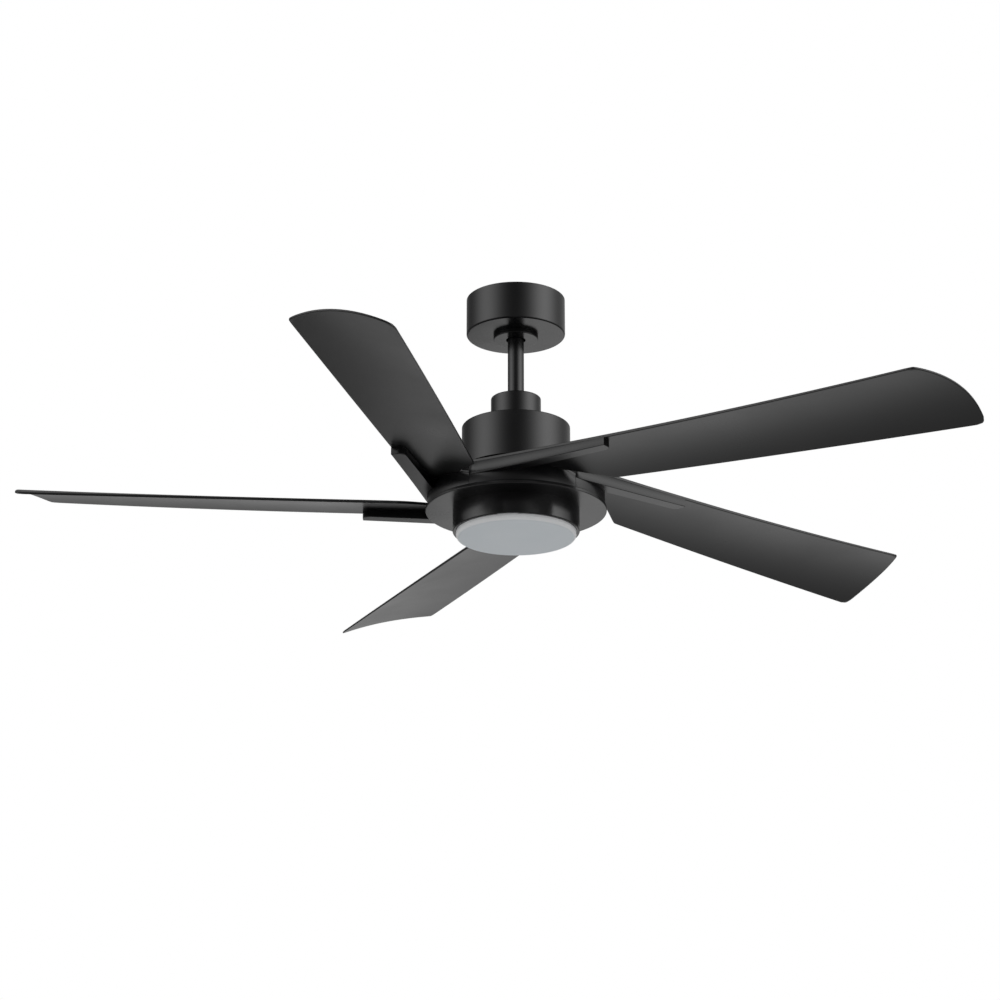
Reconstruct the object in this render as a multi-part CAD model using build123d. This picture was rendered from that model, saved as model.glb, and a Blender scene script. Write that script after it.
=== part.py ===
from build123d import *
from math import atan, cos, degrees, radians, sin, sqrt
import os

# Ceiling fan with a light.  Millimetres, +Z up.  The origin is the centre of the ceiling face
# of the hanger bracket, on the fan's axis, so the whole fan hangs below z = 0.
# Blade 1 points along blade_1_angle; the blades turn about the Z axis.

# ---- driving dimensions -------------------------------------------------------------------

# overall
sweep_radius = 660.0          # nominal blade circle; the curved tips end just inside it
blade_count = 5
blade_1_angle = 180.0         # direction of blade 1 at rest, from +X

# canopy and its trim ring
canopy_radius = 66.6
canopy_height = 51.3
canopy_wall = 1.2
canopy_edge = 2.2             # outside edge rounding
canopy_hole_radius = 17.0
ring_radius = 30.0
ring_height = 6.2
ring_wall = 1.2
ring_bore_radius = 13.1
canopy_screw_radius = 24.0    # the two screws stand on this circle

# hanger bracket and ball
bracket_length = 104.0
bracket_width = 32.0
bracket_sheet = 1.8
bracket_leg_x = 31.0
slot_spacing = 88.9           # ceiling box screw spacing
slot_length = 14.0
slot_width = 5.2
ball_radius = 21.0
ball_depth = 26.0             # ball centre below the ceiling
ball_top = 12.0               # flat top above the ball centre
ball_mouth = 2.7              # room round the rod where the ball leaves its cup
cup_wall = 2.6
entry_room = 2.6              # beside the rod in the slot it enters the cup through

# downrod
rod_radius = 10.9
rod_wall = 2.0
rod_exposed = 84.4            # visible length, trim ring to coupling cover
pin_radius = 3.0
wire_radius = 0.95
wire_offset = 5.0

# coupling cover and yoke
coupling_radius = 33.5
coupling_height = 41.5
coupling_wall = 1.2
coupling_edge = 2.0
yoke_radius = 20.0
yoke_flange_radius = 28.5
yoke_flange = 6.0
yoke_screw_circle = 24.0
yoke_screw_angle = 30.0

# motor
motor_radius = 72.3
motor_height = 61.1
motor_wall = 1.5
motor_edge = 1.6
motor_ring_inner = 50.0       # hole in the closing ring under the motor
rotor_room = 8.3              # between the rotor and the housing
rotor_wall = 5.0
rotor_plate = 4.5
rotor_length = 36.0           # between the two rotor covers
magnet_count = 20
magnet_thickness = 3.8
air_gap = 0.7
tooth_count = 12
tooth_width = 7.0
core_length = 20.0
core_hub_radius = 24.0
shaft_radius = 8.5
shaft_bore = 6.6
shaft_shoulder = 11.4
bearing_outer = 20.0
bearing_width = 12.0
bearing_ball = 3.4
bearing_balls = 8
vent_length = 16.0            # slots in the upper rotor cover
vent_width = 6.0

# hub that the blades are screwed to
carrier_radius = 66.0
carrier_neck = 44.0
carrier_drop = 17.5           # motor underside down to the blade pads
carrier_plate = 6.0
carrier_screw_circle = 33.0
pad_inner_radius = 28.0
pad_thickness = 5.0
pad_wall_radius = 75.0
pad_screw_radius = 52.0

# blade: edge positions are across the blade from its radial line, and heights are below the
# motor's underside, each at the root station and at the tip, with a bow at mid length
root_station = 200.0
lead_root, lead_tip, lead_bow = -99.8, -64.1, 0.95
trail_root, trail_tip, trail_bow = 2.5, 71.9, 1.5
lead_root_drop, lead_tip_drop, lead_drop_bow = 26.5, 19.5, 2.2
trail_root_drop, trail_tip_drop, trail_drop_bow = 44.9, 55.05, 0.6
camber_root, camber_tip = 4.0, 8.0
blade_root_thickness = 4.2
blade_tip_thickness = 2.8
tip_lead_setback = 33.2       # tip corners inboard of the nominal circle
tip_trail_setback = 9.4
tip_mid_setback = 6.8         # tip curve inboard of the nominal circle at mid chord
tip_lead_rounding = 9.0
tip_trail_rounding = 10.0
inner_corner_station = 160.0  # where the trailing edge ends and is cut back to the hub
inner_corner_rounding = 7.0

# root of the blade: one sector of the hub each
hub_radius = 117.6
hub_wall = 3.0
seam_angle = -85.0            # leading seam, from the blade's radial line
seam_gap = 0.5
seam_step = 0.5               # leading edge stands proud of the hub at the seam
cut_angle = -23.0             # where the inner cut meets the hub

# keel under the leading edge
keel_end = 208.0
keel_width_root = 22.0
keel_width_end = 18.0
keel_root_drop = 40.5
keel_end_drop = 36.1
keel_rounding = 8.0

# pan and light
pan_radius = 119.8
pan_height = 4.0
pan_sheet = 1.6
pan_drop = 53.4               # motor underside down to the pan's rim
pan_clearance = 1.0           # under the turning blade roots
post_circle = 38.0            # the three posts and screws that carry pan and light
post_angle = 60.0
light_radius = 83.8
light_height = 28.4
light_wall = 1.5
light_lip = 3.0
light_edge = 1.0
lens_inset = 4.3              # lens inside the light housing's outside
lens_drop = 7.9
lens_wall = 2.4
lens_edge = 5.0
lens_clearance = 0.3
lug_count = 3
lug_sweep = 16.0              # degrees that each lens lug covers
lug_turn = 22.0               # twist from locked to free
led_board_inset = 11.5        # board inside the lens's outside
led_rings = ((0.30, 6), (0.56, 12), (0.82, 18))     # share of the board's radius, count
board_post_inset = 20.0
board_post_angle = 30.0
driver_start = 15.0           # driver box, from the axis outwards
driver_room = 12.3            # between the driver and the light housing's wall

# fits
running_fit = 0.05
screw_clearance = 0.1
loose_fit = 0.4

# ---- levels that follow from the sizes above ----------------------------------------------

canopy_bottom = -canopy_height
ring_bottom = canopy_bottom - ring_height
coupling_top = ring_bottom - rod_exposed
motor_top = coupling_top - coupling_height
motor_bottom = motor_top - motor_height
ball_z = -ball_depth
ball_bottom = sqrt(ball_radius ** 2 - (rod_radius + ball_mouth) ** 2)
pad_top = motor_bottom - carrier_drop
pad_bottom = pad_top - pad_thickness
pan_top = motor_bottom - pan_drop
pan_bottom = pan_top - pan_height
light_bottom = pan_bottom - light_height
lens_bottom = light_bottom - lens_drop
skirt_bottom = pan_top + pan_clearance

rotor_radius = motor_radius - motor_wall - rotor_room
vent_circle = (bearing_outer + rotor_radius) / 2 + 0.75
rotor_middle = (motor_top + motor_bottom) / 2 - 3.0
rotor_high = rotor_middle + rotor_length / 2
rotor_low = rotor_middle - rotor_length / 2
bearing_high = (rotor_high - 4.0, rotor_high - 4.0 + bearing_width)
bearing_low = (rotor_low + 3.0 - bearing_width, rotor_low + 3.0)
rod_top = ball_z + 14.0
rod_low = motor_top + 11.4
clevis_z = rod_low + 14.0
shaft_top = rod_low - 2.0
shaft_low = pan_bottom - 2.0
bracket_plate_low = pan_top + 8.9
led_board_top = light_bottom + 11.3
lens_radius = light_radius - lens_inset
led_board_radius = lens_radius - led_board_inset
board_post_circle = led_board_radius - board_post_inset
driver_end = light_radius - light_wall - driver_room

sector = 360.0 / blade_count


# ---- small helpers ------------------------------------------------------------------------

def cylinder(radius, low, high, x=0.0, y=0.0):
    """A vertical cylinder between two heights."""
    return Pos(x, y, (low + high) / 2) * Cylinder(radius, high - low)


def tube(outer, inner, low, high, x=0.0, y=0.0):
    """A vertical tube between two heights."""
    return cylinder(outer, low, high, x, y) - cylinder(inner, low - 1, high + 1, x, y)


def block(x_low, x_high, y_low, y_high, low, high):
    """A box given by its two corners."""
    middle = ((x_low + x_high) / 2, (y_low + y_high) / 2, (low + high) / 2)
    return Pos(*middle) * Box(x_high - x_low, y_high - y_low, high - low)


def around(count, radius, start=0.0):
    """(x, y, angle) of equally spaced places on a circle about the fan's axis."""
    for index in range(count):
        angle = start + 360.0 * index / count
        yield radius * cos(radians(angle)), radius * sin(radians(angle)), angle


def on_circle(radius, angle):
    """The plan point at a radius and an angle in degrees."""
    return (radius * cos(radians(angle)), radius * sin(radians(angle)))


def pie(radius_in, radius_out, angle_from, angle_to, low, high):
    """A sector of a ring between two angles and two heights."""
    middle = (angle_from + angle_to) / 2
    with BuildSketch() as plan:
        with BuildLine():
            Line(on_circle(radius_in, angle_from), on_circle(radius_out, angle_from))
            ThreePointArc(on_circle(radius_out, angle_from), on_circle(radius_out, middle),
                          on_circle(radius_out, angle_to))
            Line(on_circle(radius_out, angle_to), on_circle(radius_in, angle_to))
            ThreePointArc(on_circle(radius_in, angle_to), on_circle(radius_in, middle),
                          on_circle(radius_in, angle_from))
        make_face()
    return Pos(0, 0, low) * extrude(plan.sketch, high - low)


def screw(x, y, head_face, tip, shaft, head, head_height):
    """A pan-head screw whose head's flat face is at head_face; it points towards tip."""
    away = 1 if tip < head_face else -1
    rod = cylinder(shaft, min(head_face, tip), max(head_face, tip), x, y)
    top = head_face + away * head_height
    cap = cylinder(head, min(head_face, top), max(head_face, top), x, y)
    rim = cap.edges().filter_by(GeomType.CIRCLE).sort_by(Axis.Z)[-1 if away > 0 else 0]
    cap = fillet(rim, head_height * 0.45)
    drive = Pos(x, y, top) * Box(head * 1.1, head * 0.28, head_height * 0.8)
    cross = Pos(x, y, top) * Box(head * 0.28, head * 1.1, head_height * 0.8)
    return rod + cap - drive - cross


def cap_shell(radius, low, high, wall, edge, closed_top):
    """A round cover, open at one end, with its closed end's edge rounded."""
    outer = cylinder(radius, low, high)
    rims = outer.edges().filter_by(GeomType.CIRCLE).sort_by(Axis.Z)
    outer = fillet(rims[-1] if closed_top else rims[0], edge)
    if closed_top:
        return outer - cylinder(radius - wall, low - 1, high - wall)
    return outer - cylinder(radius - wall, low + wall, high + 1)


def group(solids):
    """Several separate solids kept together as one node."""
    return Compound(children=list(solids))


# ---- ceiling side -------------------------------------------------------------------------

def make_hanger_bracket():
    """Stamped steel bracket: ceiling plate, two legs and the cup that holds the ball."""
    plate = block(-bracket_length / 2, bracket_length / 2, -bracket_width / 2, bracket_width / 2,
                  -bracket_sheet, 0)
    plate = fillet(plate.edges().filter_by(Axis.Z), 6.0)
    wings = block(-20, 20, -54, 54, -bracket_sheet, 0)
    plate += fillet(wings.edges().filter_by(Axis.Z), 4.0)
    for side in (-1, 1):
        slot = Pos(side * slot_spacing / 2, 0, -bracket_sheet) * extrude(
            SlotOverall(slot_length, slot_width), bracket_sheet * 2, both=True)
        plate -= slot
    cradle_low = ball_z - 7.8
    cradle_high = cradle_low + bracket_sheet
    cradle = block(-bracket_leg_x, bracket_leg_x, -20, 20, cradle_low, cradle_high)
    bracket = plate + cradle
    for side in (-1, 1):
        leg_x = side * (bracket_leg_x - bracket_sheet / 2)
        bracket += block(leg_x - bracket_sheet / 2, leg_x + bracket_sheet / 2, -14, 14,
                         cradle_low, -bracket_sheet / 2)
        bracket += cylinder(4.0, canopy_bottom + canopy_wall, cradle_high,
                            side * canopy_screw_radius, 0)
    cup = Pos(0, 0, ball_z) * Sphere(ball_radius + cup_wall)
    cup &= cylinder(ball_radius + cup_wall, ball_z - ball_bottom, ball_z - 5.0)
    bracket += cup
    bracket -= Pos(0, 0, ball_z) * Sphere(ball_radius + running_fit)
    entry = rod_radius + entry_room
    bracket -= block(-entry, entry, 0, 40, ball_z - ball_bottom - 1, cradle_high + 1)
    for side in (-1, 1):
        bracket -= cylinder(2.0 + screw_clearance, canopy_bottom, canopy_bottom + 12,
                            side * canopy_screw_radius, 0)
    key = block(-1.5, 1.5, -(ball_radius + 1.0), -(ball_radius - 4.5), ball_z - 9, ball_z - 6)
    return bracket + key


def make_receiver():
    """Remote-control receiver box, under one wing of the bracket."""
    case = block(-32, 32, 28, 50, -bracket_sheet - 20, -bracket_sheet)
    case = fillet(case.edges().filter_by(Axis.Z), 3.0)
    for x in (-24, 0, 24):
        case -= block(x - 5, x + 5, 46, 51, -bracket_sheet - 14, -bracket_sheet - 7)
    return case


def make_terminal_block():
    """Mains terminal block, under the other wing of the bracket."""
    strip = block(-18, 18, -46, -32, -bracket_sheet - 12, -bracket_sheet)
    for x in (-12, 0, 12):
        strip -= cylinder(2.6, -bracket_sheet - 13, -bracket_sheet - 5, x, -39)
    return strip


def make_terminal_screws():
    """One clamping screw in each way of the terminal block."""
    return group(screw(x, -39, -bracket_sheet - 8, -bracket_sheet - 5, 1.5, 2.3, 1.6)
                 for x in (-12, 0, 12))


def make_canopy():
    """Round ceiling cover with a flat bottom and a hole for the downrod."""
    shell = cap_shell(canopy_radius, canopy_bottom, 0, canopy_wall, canopy_edge, False)
    shell -= cylinder(canopy_hole_radius, canopy_bottom - 1, canopy_bottom + canopy_wall + 1)
    for side in (-1, 1):
        shell -= cylinder(2.0 + screw_clearance, canopy_bottom - 1,
                          canopy_bottom + canopy_wall + 1, side * canopy_screw_radius, 0)
    return shell


def make_canopy_screws():
    """Two screws up through the canopy into the bracket's posts."""
    return group(screw(side * canopy_screw_radius, 0, canopy_bottom, canopy_bottom + 10,
                       2.0, 3.6, 2.4) for side in (-1, 1))


def make_canopy_ring():
    """Trim ring that hides the canopy screws and closes the hole round the rod."""
    ring = cap_shell(ring_radius, ring_bottom, canopy_bottom, ring_wall, 1.0, False)
    return ring - cylinder(ring_bore_radius, ring_bottom - 1, ring_bottom + ring_wall + 1)


# ---- downrod ------------------------------------------------------------------------------

def make_hanger_ball():
    """Ball on the downrod's top; a groove keys it to the bracket's cup."""
    ball = Pos(0, 0, ball_z) * Sphere(ball_radius)
    ball &= cylinder(ball_radius + 1, ball_z - ball_bottom, ball_z + ball_top)
    ball -= cylinder(rod_radius + 1.0, ball_z - ball_bottom - 1, ball_z + ball_top + 1)
    ball -= Pos(0, 0, ball_z) * Rot(90, 0, 0) * Cylinder(pin_radius + running_fit, 4 * ball_radius)
    ball -= block(-2.0, 2.0, -(ball_radius + 1), -(ball_radius - 5.6), ball_z - ball_bottom - 1,
                  ball_z - 3.5)
    return ball


def make_ball_pin():
    """Cross pin that carries the downrod in the ball."""
    return Pos(0, 0, ball_z) * Rot(90, 0, 0) * Cylinder(pin_radius, 2 * (ball_radius - 4.0))


def make_downrod():
    """Steel tube with a cross hole near each end."""
    rod = tube(rod_radius, rod_radius - rod_wall, rod_low, rod_top)
    for height in (ball_z, clevis_z):
        rod -= Pos(0, 0, height) * Rot(90, 0, 0) * Cylinder(pin_radius, 4 * rod_radius)
    return rod


def make_wire_loom():
    """Four leads that run down the rod and the hollow shaft, beside the pins."""
    low = shaft_low + 1.0
    return group(cylinder(wire_radius, low, rod_top - 1.0, x, y)
                 for x in (-wire_offset, wire_offset) for y in (-1.2, 1.2))


def make_yoke():
    """Cast coupler: rod socket above, flange on the motor below."""
    yoke = cylinder(yoke_radius, motor_top, clevis_z + 11.0)
    yoke += cylinder(yoke_flange_radius, motor_top, motor_top + yoke_flange)
    yoke -= cylinder(rod_radius + running_fit, rod_low, clevis_z + 12.0)
    yoke -= cylinder(shaft_radius, motor_top - 1, rod_low + 1)
    yoke -= Pos(0, 0, clevis_z) * Rot(90, 0, 0) * Cylinder(pin_radius, 4 * yoke_radius)
    yoke -= Pos(0, 0, clevis_z + 2) * Rot(0, 90, 0) * Cylinder(2.5, 4 * yoke_radius)
    for x, y, _ in around(3, yoke_screw_circle, yoke_screw_angle):
        yoke -= cylinder(2.0 + screw_clearance, motor_top - 1, motor_top + yoke_flange + 1, x, y)
    return yoke


def make_yoke_set_screws():
    """Two grub screws that bear on the rod."""
    length = yoke_radius - rod_radius - 1.0
    middle = rod_radius + length / 2
    grub = Rot(0, 90, 0) * Cylinder(2.5, length)
    grub -= Pos(length / 2, 0, 0) * Rot(0, 90, 0) * extrude(RegularPolygon(1.4, 6), 4, both=True)
    return group(Pos(0, 0, clevis_z + 2) * Rot(0, 0, turn) * Pos(middle, 0, 0) * grub
                 for turn in (0, 180))


def make_clevis_pin():
    """Headed pin through the yoke and the rod's bottom."""
    reach = yoke_radius + 5.0
    pin = Rot(90, 0, 0) * Cylinder(pin_radius, 2 * reach)
    head = Pos(0, -(yoke_radius + 1.5), 0) * Rot(90, 0, 0) * Cylinder(pin_radius + 1.8, 3.0)
    hole = Pos(0, yoke_radius + 2.5, 0) * Cylinder(0.9, 4 * pin_radius)
    tail = block(-5, 5, -reach - 1, -(yoke_radius + 3.0), -5, 5)
    return Pos(0, 0, clevis_z) * (pin + head - hole - tail)


def make_hairpin():
    """Spring-wire clip through the clevis pin's end."""
    wire = 0.8
    bend = 3.6
    leg = 9.0
    y = yoke_radius + 2.5
    with BuildLine() as path:
        Line((0, y, clevis_z - leg), (0, y, clevis_z + leg))
        ThreePointArc((0, y, clevis_z + leg), (bend, y, clevis_z + leg + bend),
                      (2 * bend, y, clevis_z + leg))
        Line((2 * bend, y, clevis_z + leg), (2 * bend, y, clevis_z - 4.0))
    with BuildSketch(Plane((0, y, clevis_z - leg), z_dir=(0, 0, 1))) as section:
        Circle(wire)
    return sweep(section.sketch, path.line)


def make_coupling_cover():
    """Cup over the yoke that slides on the rod and rests on the motor."""
    cover = cap_shell(coupling_radius, motor_top, coupling_top, coupling_wall, coupling_edge, True)
    return cover - cylinder(rod_radius + loose_fit, coupling_top - 5, coupling_top + 1)


# ---- motor, fixed side --------------------------------------------------------------------

def make_motor_housing():
    """Round motor cover, closed at the top."""
    shell = cap_shell(motor_radius, motor_bottom, motor_top, motor_wall, motor_edge, True)
    shell -= cylinder(shaft_radius, motor_top - 5, motor_top + 1)
    for x, y, _ in around(3, yoke_screw_circle, yoke_screw_angle):
        shell -= cylinder(2.0 + screw_clearance, motor_top - 5, motor_top + 1, x, y)
    return shell


def make_motor_closing_ring():
    """Ring pressed into the housing's open bottom, round the turning neck."""
    return tube(motor_radius - motor_wall, motor_ring_inner, motor_bottom, motor_bottom + 2.0)


def make_motor_plate():
    """Plate under the housing's top that the yoke screws pull against."""
    top = motor_top - motor_wall
    plate = tube(30.0, shaft_radius, top - 3.5, top)
    for x, y, _ in around(3, yoke_screw_circle, yoke_screw_angle):
        plate -= cylinder(2.0 + screw_clearance, top - 4, top + 1, x, y)
    return plate


def make_yoke_screws():
    """Three screws down through the yoke's flange."""
    return group(screw(x, y, motor_top + yoke_flange, motor_top - motor_wall - 3.0, 2.0, 3.4, 2.2)
                 for x, y, _ in around(3, yoke_screw_circle, yoke_screw_angle))


def make_motor_shaft():
    """Hollow fixed shaft; its shoulder carries the stator between the bearings."""
    shaft = cylinder(shaft_radius, shaft_low, shaft_top)
    shaft += cylinder(shaft_shoulder, bearing_low[1], bearing_high[0])
    return shaft - cylinder(shaft_bore, shaft_low - 1, shaft_top + 1)


def make_stator_core():
    """Laminated core with wound teeth."""
    low = rotor_middle - core_length / 2
    high = rotor_middle + core_length / 2
    rim = rotor_radius - rotor_wall - magnet_thickness - air_gap
    core = cylinder(core_hub_radius, low, high) + tube(rim, rim - 4.0, low, high)
    for _, _, angle in around(tooth_count, 1.0):
        tooth = block(core_hub_radius - 2, rim - 2, -tooth_width / 2, tooth_width / 2, low, high)
        gap = block(rim - 6, rim + 2, -1.5, 1.5, low - 1, high + 1)
        core += Rot(0, 0, angle) * tooth
        core -= Rot(0, 0, angle + 180.0 / tooth_count) * gap
    return core - cylinder(shaft_shoulder, low - 1, high + 1)


def make_stator_windings():
    """One coil round each tooth."""
    inner = core_hub_radius + 1.0
    outer = rotor_radius - rotor_wall - magnet_thickness - air_gap - 5.0
    half = inner * sin(radians(180.0 / tooth_count)) - 0.2
    rise = core_length / 2 + 4.5
    coil = block(inner, outer, -half, half, rotor_middle - rise, rotor_middle + rise)
    coil = fillet(coil.edges().filter_by(Axis.X), 2.2)
    window_y = tooth_width / 2 + 0.3
    window_z = core_length / 2 + 0.3
    coil -= block(inner - 1, outer + 1, -window_y, window_y,
                  rotor_middle - window_z, rotor_middle + window_z)
    return group(Rot(0, 0, angle) * coil for _, _, angle in around(tooth_count, 1.0))


def make_bearing_inner(span):
    """Inner race of a ball bearing, with its ball groove."""
    pitch = (shaft_radius + bearing_outer) / 2
    middle = (span[0] + span[1]) / 2
    race = tube(shaft_radius + 3.0, shaft_radius, *span)
    return race - Pos(0, 0, middle) * Torus(pitch, bearing_ball + running_fit)


def make_bearing_outer(span):
    """Outer race of a ball bearing, with its ball groove."""
    pitch = (shaft_radius + bearing_outer) / 2
    middle = (span[0] + span[1]) / 2
    race = tube(bearing_outer, bearing_outer - 3.0, *span)
    return race - Pos(0, 0, middle) * Torus(pitch, bearing_ball + running_fit)


def make_bearing_balls(span):
    """Balls of one bearing, in the ring that spaces them."""
    pitch = (shaft_radius + bearing_outer) / 2
    middle = (span[0] + span[1]) / 2
    cage = tube(pitch + 0.6, pitch - 0.6, middle - 4.3, middle + 4.3)
    balls = []
    pocket = Pos(pitch, 0, middle) * Rot(0, 90, 0) * Cylinder(bearing_ball + running_fit, 4.0)
    for x, y, angle in around(bearing_balls, pitch):
        cage -= Rot(0, 0, angle) * pocket
        balls.append(Pos(x, y, middle) * Sphere(bearing_ball))
    return group([cage] + balls)


# ---- motor, turning side ------------------------------------------------------------------

def cover_screws(radius):
    """Places of the six screws that hold each rotor cover."""
    return list(around(6, radius, 15.0))


def make_rotor_top_cover():
    """Upper rotor cover with its bearing boss."""
    cover = cylinder(rotor_radius, rotor_high, rotor_high + rotor_plate)
    cover += cylinder(bearing_outer + 3.0, bearing_high[0] - 2.0, bearing_high[1] + 1.5)
    cover -= cylinder(bearing_outer, bearing_high[0], bearing_high[1] + 3)
    cover -= cylinder(bearing_outer - 3.0, bearing_high[0] - 3, bearing_high[1])
    for x, y, _ in cover_screws(rotor_radius - rotor_wall / 2):
        cover -= cylinder(1.5 + screw_clearance, rotor_high - 1, rotor_high + rotor_plate + 1, x, y)
    for _, _, angle in around(6, 1.0, 45.0):
        vent = extrude(SlotOverall(vent_length, vent_width), 4 * rotor_plate, both=True)
        vent = Pos(vent_circle, 0, rotor_high) * vent
        cover -= Rot(0, 0, angle) * vent
    return cover


def make_rotor_bottom_cover():
    """Lower rotor cover with its bearing boss."""
    cover = cylinder(rotor_radius, rotor_low - rotor_plate, rotor_low)
    cover += cylinder(bearing_outer + 3.0, bearing_low[0] - 1.0, bearing_low[1] + 2.0)
    cover -= cylinder(bearing_outer, bearing_low[0] - 3, bearing_low[1])
    cover -= cylinder(bearing_outer - 3.0, bearing_low[0], bearing_low[1] + 3)
    for x, y, _ in cover_screws(rotor_radius - rotor_wall / 2):
        cover -= cylinder(1.5 + screw_clearance, rotor_low - rotor_plate - 1, rotor_low + 1, x, y)
    for x, y, _ in around(6, carrier_screw_circle):
        cover -= cylinder(2.0 + screw_clearance, rotor_low - rotor_plate - 1, rotor_low + 1, x, y)
    return cover


def make_rotor_ring():
    """Steel back ring that closes the magnets' field."""
    ring = tube(rotor_radius, rotor_radius - rotor_wall, rotor_low, rotor_high)
    for x, y, _ in cover_screws(rotor_radius - rotor_wall / 2):
        ring -= cylinder(1.5 + screw_clearance, rotor_low - 1, rotor_high + 1, x, y)
    return ring


def make_rotor_screws():
    """Six screws through each rotor cover into the ring."""
    places = cover_screws(rotor_radius - rotor_wall / 2)
    upper = [screw(x, y, rotor_high + rotor_plate, rotor_high - 8, 1.5, 2.4, 1.6)
             for x, y, _ in places]
    lower = [screw(x, y, rotor_low - rotor_plate, rotor_low + 8, 1.5, 2.4, 1.6)
             for x, y, _ in places]
    return group(upper + lower)


def make_rotor_magnets():
    """Arc magnets inside the rotor ring."""
    outer = rotor_radius - rotor_wall
    half = 180.0 / magnet_count - 0.8
    low = rotor_middle - core_length / 2 - 2
    high = rotor_middle + core_length / 2 + 2
    magnet = pie(outer - magnet_thickness, outer, -half, half, low, high)
    return group(Rot(0, 0, angle) * magnet for _, _, angle in around(magnet_count, 1.0))


def make_blade_carrier():
    """Cast neck and flange between the rotor and the blade roots."""
    top = rotor_low - rotor_plate
    carrier = tube(carrier_neck, bearing_outer + 3.5, top - 4.0, top)
    carrier += tube(carrier_neck, carrier_neck - 4.0, pad_top, top)
    carrier += tube(carrier_radius, carrier_neck - 4.0, pad_top, pad_top + carrier_plate)
    for x, y, _ in around(6, carrier_screw_circle):
        carrier -= cylinder(2.0 + screw_clearance, top - 5, top + 1, x, y)
    for x, y in pad_screw_places():
        carrier -= cylinder(2.0 + screw_clearance, pad_top - 1, pad_top + carrier_plate + 1, x, y)
    return carrier


def make_carrier_screws():
    """Six screws up through the carrier into the rotor's lower cover."""
    top = rotor_low - rotor_plate
    return group(screw(x, y, top - 4.0, top + 4.0, 2.0, 3.4, 2.2)
                 for x, y, _ in around(6, carrier_screw_circle))


# ---- blades -------------------------------------------------------------------------------

def along(root, tip, bow, station):
    """A size that changes from root to tip with a bow at mid length."""
    share = (station - root_station) / (sweep_radius - root_station)
    return root + (tip - root) * share + 4 * bow * share * (1 - share)


def leading_edge(station):
    """(across, height) of the underside's leading edge at a station along the blade."""
    across = along(lead_root, lead_tip, lead_bow, station)
    height = motor_bottom - along(lead_root_drop, lead_tip_drop, lead_drop_bow, station)
    return across, height


def trailing_edge(station):
    """(across, height) of the underside's trailing edge at a station along the blade."""
    across = along(trail_root, trail_tip, trail_bow, station)
    height = motor_bottom - along(trail_root_drop, trail_tip_drop, trail_drop_bow, station)
    return across, height


def chord_point(station, share, lift):
    """A point on the curved section: share 0 is the leading edge and 1 the trailing edge."""
    lead = leading_edge(station)
    trail = trailing_edge(station)
    camber = along(camber_root, camber_tip, 0.0, station) * 4 * share * (1 - share)
    across = lead[0] + (trail[0] - lead[0]) * share
    height = lead[1] + (trail[1] - lead[1]) * share + camber + lift
    return (station, across, height)


def make_sheet(low_lift, high_lift, station_from=-12.0, station_to=690.0, count=7):
    """The twisted, curved layer that the blade is cut from, wider than the blade itself.

    low_lift and high_lift are heights above the blade's underside; None stands for the
    blade's own thickness.
    """
    sections = []
    for index in range(count):
        station = station_from + (station_to - station_from) * index / (count - 1)
        high = high_lift
        if high is None:
            high = along(blade_root_thickness, blade_tip_thickness, 0.0, max(station, root_station))
        shares = (-0.3, 0.1, 0.5, 0.9, 1.3)
        low_points = [chord_point(station, share, low_lift) for share in shares]
        high_points = [chord_point(station, share, high) for share in shares]
        low_curve = Spline(*low_points)
        high_curve = Spline(*high_points)
        rim = [low_curve, Line(low_points[-1], high_points[-1]), high_curve,
               Line(high_points[0], low_points[0])]
        sections.append(Face(Wire(rim)))
    return Solid.make_loft([section.outer_wire() for section in sections])


def seam_angles():
    """The two edges of a blade root's sector, with half a seam's gap taken off each."""
    half_gap = degrees(atan(seam_gap / 2 / hub_radius))
    return seam_angle + half_gap, seam_angle + sector - half_gap


def make_blade_plan():
    """Outline of the blade seen from above, as a tall prism."""
    start, end = seam_angles()
    lead_tip_x = sweep_radius - tip_lead_setback
    trail_tip_x = sweep_radius - tip_trail_setback
    lead_points = [on_circle(hub_radius + seam_step, start)]
    for station in ((inner_corner_station + root_station) / 2, lead_tip_x):
        lead_points.append((station, leading_edge(station)[0]))
    trail_points = [(station, trailing_edge(station)[0])
                    for station in (trail_tip_x, (trail_tip_x + inner_corner_station) / 2,
                                    inner_corner_station)]
    tip_middle = (sweep_radius - tip_mid_setback, 0.0)
    inner = pad_wall_radius - hub_wall
    with BuildSketch() as plan:
        with BuildLine():
            Spline(*lead_points)
            ThreePointArc(lead_points[-1], tip_middle, trail_points[0])
            ThreePointArc(*trail_points)
            Line(trail_points[-1], on_circle(hub_radius, cut_angle))
            ThreePointArc(on_circle(hub_radius, cut_angle),
                          on_circle(hub_radius, (cut_angle + end) / 2), on_circle(hub_radius, end))
            Line(on_circle(hub_radius, end), on_circle(inner, end))
            ThreePointArc(on_circle(inner, end), on_circle(inner, (start + end) / 2),
                          on_circle(inner, start))
            Line(on_circle(inner, start), lead_points[0])
        make_face()
        fillet(plan.vertices().sort_by_distance(lead_points[-1])[0], tip_lead_rounding)
        fillet(plan.vertices().sort_by_distance(trail_points[0])[0], tip_trail_rounding)
        fillet(plan.vertices().sort_by_distance(trail_points[-1])[0], inner_corner_rounding)
    return Pos(0, 0, pan_bottom - 40) * extrude(plan.sketch, 120)


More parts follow.
